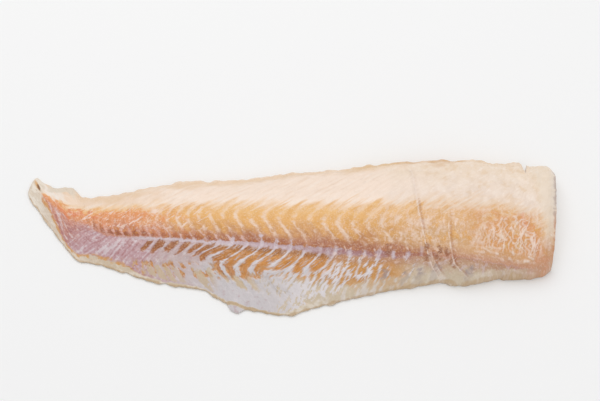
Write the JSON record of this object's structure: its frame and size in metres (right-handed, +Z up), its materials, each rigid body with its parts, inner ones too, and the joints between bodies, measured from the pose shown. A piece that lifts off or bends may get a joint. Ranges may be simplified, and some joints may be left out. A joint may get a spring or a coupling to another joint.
{
  "type": "skinless cod fillet",
  "caption": "Raw skinless cod fillet lying skinned side up, thick at its straight cut end, thinning to a torn tail, with zigzag muscle flakes on both sides of the lateral line.",
  "frame": {"origin": "middle of the flat boned side that lies on the table", "axes": "+X from the tail to the straight cut end, +Y from the belly edge to the back edge, +Z up through the skinned side"},
  "size_m": [0.398, 0.128, 0.0279],
  "materials": {
    "flesh": "moist raw flesh with a soft sheen"
  },
  "bodies": {
    "root": {"fillet": "flesh"}
  },
  "joints": []
}
